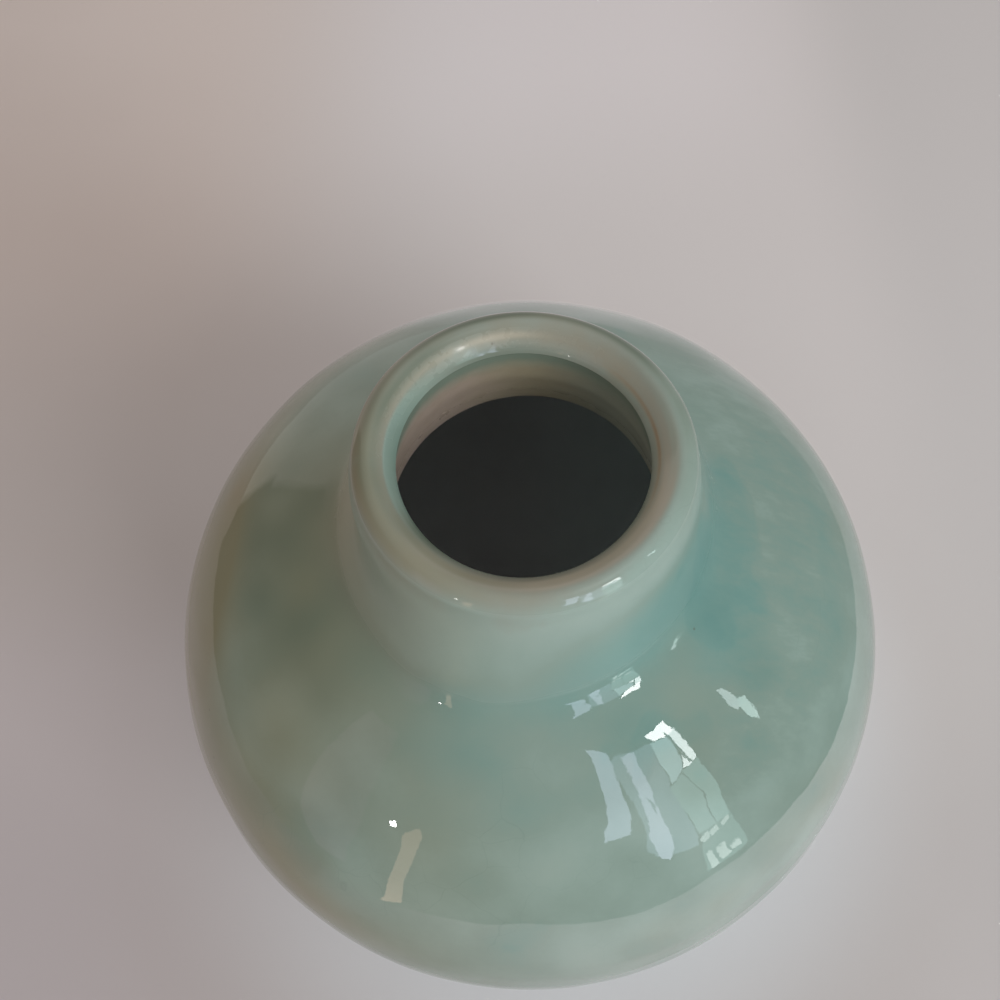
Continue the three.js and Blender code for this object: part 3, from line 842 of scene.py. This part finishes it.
def at(az, el, d):
    a, e = math.radians(az), math.radians(el)
    return CARD_C + d * Vector((math.cos(e) * math.cos(a), math.cos(e) * math.sin(a), math.sin(e)))


def card(name, dirs, color, strength, d=1.6):
    """A soft light panel that only the glaze mirrors; dirs are its corners' azimuth and elevation."""
    ob = stage_quad(name, [at(a, e, d) for a, e in dirs], emitter(name, color, strength)[0])
    only_in_gloss(ob)
    return ob


# window light: a bright top, greenish panes, small panes low down, a soft curtain on the left
card("window_top", [(-49.3, 33.9), (-47.3, 30.9), (-43.7, 29.6), (-40.2, 29.6), (-40.3, 34.3)], (1.0, 1.0, 1.0), 17.0, 1.58)
card("window_side", [(-42.4, 29.5), (-42.5, 25.7), (-45.5, 21.5), (-43.3, 20.8), (-40.3, 22.0), (-39.7, 30.2)], (0.92, 1.0, 1.0), 12.0, 1.58)
card("window_bar", [(-43.2, 31.4), (-42.5, 21.6), (-41.9, 21.6), (-42.5, 31.4)], (0.85, 1.0, 1.0), 1.0, 1.56)
card("window_mid", [(-49.3, 31.1), (-51.4, 16.7), (-46.2, 20.9), (-43.2, 25.7), (-42.9, 29.0)], (0.74, 1.0, 1.04), 4.4)
card("window_low_a", [(-52.2, 15.5), (-51.4, -5.0), (-47.3, -5.0), (-46.9, 20.0)], (0.72, 1.0, 0.98), 2.5)
card("window_low_b", [(-46.6, 20.3), (-46.9, -5.0), (-42.3, -5.0), (-40.4, 21.4)], (0.70, 1.0, 0.96), 2.6)
card("window_sill", [(-51.0, -4.5), (-50.4, -22.0), (-40.9, -22.6), (-42.0, -3.5)], (0.72, 1.0, 0.95), 1.5, 1.62)
for i, q in enumerate((
        [(-51.5, -7.5), (-50.6, -10.3), (-49.4, -10.0), (-49.9, -6.0)], [(-49.6, -7.1), (-48.9, -10.3), (-46.9, -9.6), (-47.3, -5.5)],
        [(-46.1, -6.6), (-45.5, -9.8), (-42.7, -7.9), (-43.0, -4.7)], [(-50.1, -13.4), (-48.8, -14.3), (-47.3, -22.0), (-49.1, -22.1)],
        [(-47.8, -14.9), (-45.7, -16.0), (-44.3, -20.3), (-46.5, -20.8)], [(-44.6, -17.6), (-42.6, -18.1), (-41.9, -20.6), (-44.1, -19.8)])):
    card(f"window_pane_{i}", q, (0.86, 1.0, 0.96), 4.2, 1.58)
card("curtain_near", [(-68.5, 37.3), (-67.7, 32.3), (-68.6, 22.4), (-69.0, 14.0), (-71.5, 7.7), (-65.3, 7.5), (-63.4, 13.0), (-63.3, 22.1), (-60.7, 29.9), (-61.4, 33.9)], (0.80, 0.93, 1.12), 4.1)
card("curtain_far", [(-57.5, 30.8), (-59.1, 24.1), (-60.7, 12.6), (-61.7, 2.6), (-60.1, -4.1), (-57.8, -7.1), (-56.6, -3.4), (-57.5, 7.8), (-56.2, 14.5), (-55.7, 28.1), (-54.9, 31.3)], (0.84, 0.95, 1.15), 4.6)
card("curtain_veil", [(-61.5, 31.5), (-62.5, -2.0), (-51.8, -9.0), (-52.0, 16.0), (-49.2, 31.5)], (0.75, 0.95, 1.10), 1.9, 1.66)
card("window_far_a", [(-23.6, 26.3), (-25.0, 22.4), (-24.1, 19.6), (-22.6, 19.8), (-22.4, 25.4)], (0.85, 1.0, 1.0), 5.6)
card("window_far_b", [(-23.1, 22.0), (-23.6, 19.5), (-23.1, 14.1), (-22.1, 11.5), (-21.5, 13.1), (-20.5, 19.4)], (0.78, 1.0, 0.96), 6.2)
card("lamp", [(-126.2, 6.6), (-124.6, 8.4), (-123.8, 5.8), (-125.2, 4.2)], (1.0, 0.98, 0.95), 40)
card("door_edge", [(-121.9, 3.0), (-120.9, -0.5), (-121.4, -14.0), (-122.5, -25.9), (-118.8, -24.6), (-117.9, -10.0), (-116.3, 7.0), (-117.3, 11.6), (-119.2, 9.0)], (1.0, 0.74, 0.56), 2.2)
card("door_veil", [(-149.0, 29.0), (-148.2, 11.5), (-147.1, -9.5), (-139.2, -21.0), (-132.4, -19.7), (-132.0, 2.2), (-132.7, 16.1), (-136.0, 27.4)], (0.62, 0.50, 0.52), 1.0, 1.7)
# a faint patch of lit ceiling, fading to its edges
glow = card("ceiling_glow", [(-80, 46), (-84, 70), (-20, 78), (6, 52), (-20, 40), (-50, 38)], (1.0, 1.0, 0.97), 1.1, 1.62)
gt = glow.data.materials[0].node_tree
gc = gt.nodes.new("ShaderNodeTexCoord")
gv = gt.nodes.new("ShaderNodeVectorMath")
gv.operation = "DISTANCE"
gt.links.new(gc.outputs["Generated"], gv.inputs[0])
gv.inputs[1].default_value = (0.5, 0.5, 0.5)
gm = gt.nodes.new("ShaderNodeMapRange")
gm.interpolation_type = "SMOOTHSTEP"
for k, v in (("From Min", 0.05), ("From Max", 0.5), ("To Min", 1.1), ("To Max", 0.45)):
    gm.inputs[k].default_value = v
gt.links.new(gv.outputs["Value"], gm.inputs["Value"])
gt.links.new(gm.outputs["Result"], [n for n in gt.nodes if n.type == "EMISSION"][0].inputs["Strength"])


# soft studio light for the body's own colour; its mirror image isn't shown
def area(name, pos, target, size, power, color):
    d = bpy.data.lights.new(name, "AREA")
    d.shape = "RECTANGLE"
    d.size, d.size_y = size
    d.energy = power
    d.color = color
    ob = bpy.data.objects.new(name, d)
    bpy.context.scene.collection.objects.link(ob)
    ob.location = pos
    ob.rotation_euler = (Vector(target) - Vector(pos)).to_track_quat("-Z", "Y").to_euler()
    ob.visible_glossy = False
    ob.visible_camera = False
    return ob


area("key_right", (0.60, -0.62, 0.58), (0.0, 0.0, 0.05), (0.55, 0.55), 4.0, (0.97, 1.0, 1.0))

PI = math.pi


def compass(t, direction, stops, sway=None):
    """A colour ramp round the compass, stops in degrees; sway turns the stops with height, in radians."""
    s = t.nodes.new("ShaderNodeSeparateXYZ")
    t.links.new(direction, s.inputs[0])
    a = t.nodes.new("ShaderNodeMath")
    a.operation = "ARCTAN2"
    t.links.new(s.outputs[1], a.inputs[0])
    t.links.new(s.outputs[0], a.inputs[1])
    m = t.nodes.new("ShaderNodeMapRange")
    m.inputs["From Min"].default_value = -PI
    m.inputs["From Max"].default_value = PI
    t.links.new(a.outputs[0], m.inputs["Value"])
    if sway:
        q = t.nodes.new("ShaderNodeMath")
        q.operation = "ADD"
        t.links.new(a.outputs[0], q.inputs[0])
        t.links.new(sway(t, s.outputs[2]), q.inputs[1])
        t.links.new(q.outputs[0], m.inputs["Value"])
    r = t.nodes.new("ShaderNodeValToRGB")
    el = r.color_ramp.elements
    while len(el) < len(stops):
        el.new(0.5)
    for e_, (a_, c_) in zip(el, stops):
        e_.position = (a_ + 180) / 360
        e_.color = (*c_, 1)
    t.links.new(m.outputs[0], r.inputs["Fac"])
    return r.outputs["Color"], s.outputs[2]


def blend_up(t, z, lo, hi, low, high):
    m = t.nodes.new("ShaderNodeMapRange")
    m.interpolation_type = "SMOOTHSTEP"
    m.inputs["From Min"].default_value = lo
    m.inputs["From Max"].default_value = hi
    t.links.new(z, m.inputs["Value"])
    x = t.nodes.new("ShaderNodeMix")
    x.data_type = "RGBA"
    t.links.new(m.outputs[0], x.inputs["Factor"])
    t.links.new(low, x.inputs[6])
    x.inputs[7].default_value = (*high, 1)
    return x.outputs[2]


# diffuse light from all round: warm and dim on the left, neutral on the right
world = bpy.data.worlds.new("room")
bpy.context.scene.world = world
world.use_nodes = True
wt = world.node_tree
wt.nodes.clear()
wo = wt.nodes.new("ShaderNodeOutputWorld")
bg = wt.nodes.new("ShaderNodeBackground")
wt.links.new(bg.outputs[0], wo.inputs["Surface"])
tc = wt.nodes.new("ShaderNodeTexCoord")
col, up_z = compass(wt, tc.outputs["Generated"], [
    (-180, (0.36, 0.29, 0.25)), (-135, (0.38, 0.34, 0.31)), (-90, (0.44, 0.44, 0.43)), (-45, (0.46, 0.485, 0.485)),
    (0, (0.41, 0.435, 0.435)), (45, (0.40, 0.41, 0.41)), (90, (0.38, 0.36, 0.34)), (135, (0.36, 0.31, 0.28)), (180, (0.36, 0.29, 0.25))])
wt.links.new(blend_up(wt, up_z, 0.3, 0.95, col, (0.44, 0.42, 0.41)), bg.inputs["Color"])
bg.inputs["Strength"].default_value = 1.0


def dome(name, radius, colour_of):
    """A sphere round the scene, seen from inside, built ring by ring."""
    rings, cols = 32, 64
    verts = [(0, 0, radius)] + [
        (radius * math.sin(PI * i / rings) * math.cos(2 * PI * j / cols), radius * math.sin(PI * i / rings) * math.sin(2 * PI * j / cols), radius * math.cos(PI * i / rings))
        for i in range(1, rings) for j in range(cols)] + [(0, 0, -radius)]
    faces = [(0, 1 + (j + 1) % cols, 1 + j) for j in range(cols)]
    for i in range(rings - 2):
        for j in range(cols):
            a, b = 1 + i * cols + j, 1 + i * cols + (j + 1) % cols
            faces.append((a, b, b + cols, a + cols))
    last = len(verts) - 1
    faces += [(last, 1 + (rings - 2) * cols + j, 1 + (rings - 2) * cols + (j + 1) % cols) for j in range(cols)]
    me = bpy.data.meshes.new(name)
    me.from_pydata(verts, [], faces)
    me.update()
    ob = bpy.data.objects.new(name, me)
    bpy.context.scene.collection.objects.link(ob)
    m, t, e = emitter(name, (1, 1, 1), 1.0)
    c = t.nodes.new("ShaderNodeTexCoord")
    t.links.new(colour_of(t, c.outputs["Object"]), e.inputs["Color"])
    me.materials.append(m)
    return ob


def hill(t, z):
    """The dark side's edge rises to a hill and falls off again."""
    up = t.nodes.new("ShaderNodeMapRange")
    up.interpolation_type = "SMOOTHSTEP"
    down = t.nodes.new("ShaderNodeMapRange")
    down.interpolation_type = "SMOOTHSTEP"
    for n, lo, hi, a, b in ((up, -0.20, -0.045, -0.030, 0.034), (down, -0.035, 0.02, 0.0, -0.030)):
        n.inputs["From Min"].default_value = lo
        n.inputs["From Max"].default_value = hi
        n.inputs["To Min"].default_value = a
        n.inputs["To Max"].default_value = b
        t.links.new(z, n.inputs["Value"])
    q = t.nodes.new("ShaderNodeMath")
    q.operation = "ADD"
    t.links.new(up.outputs[0], q.inputs[0])
    t.links.new(down.outputs[0], q.inputs[1])
    return q.outputs[0]


def room_colours(t, d):
    n = t.nodes.new("ShaderNodeVectorMath")
    n.operation = "NORMALIZE"
    t.links.new(d, n.inputs[0])
    col, z = compass(t, n.outputs[0], [
        (-180, (0.13, 0.11, 0.09)), (-160, (0.30, 0.27, 0.22)), (-128, (0.46, 0.44, 0.40)), (-90, (0.46, 0.46, 0.44)),
        (-45, (0.40, 0.42, 0.40)), (-8, (0.20, 0.24, 0.23)), (25, (0.22, 0.24, 0.23)), (60, (0.45, 0.44, 0.42)),
        (100, (0.58, 0.55, 0.52)), (143.8, (0.60, 0.54, 0.49)), (146, (0.13, 0.11, 0.09)), (180, (0.13, 0.11, 0.09))], hill)
    return blend_up(t, z, 0.45, 0.85, col, (0.55, 0.53, 0.50))


# what the glaze mirrors: pale behind, dark on the left
room = dome("mirrored_room", 5.0, room_colours)
only_in_gloss(room)


def backdrop_colours(t, d):
    col, z = compass(t, d, [(-180, (0.42, 0.39, 0.385)), (0, (0.46, 0.435, 0.43)), (180, (0.42, 0.39, 0.385))])
    return col


# what the camera sees behind the floor in level views
back = dome("backdrop", 2.9, backdrop_colours)
back.visible_glossy = False
back.visible_diffuse = False
back.visible_shadow = False
back.visible_transmission = False

bpy.context.scene.view_settings.view_transform = "Standard"
bpy.context.scene.view_settings.look = "None"
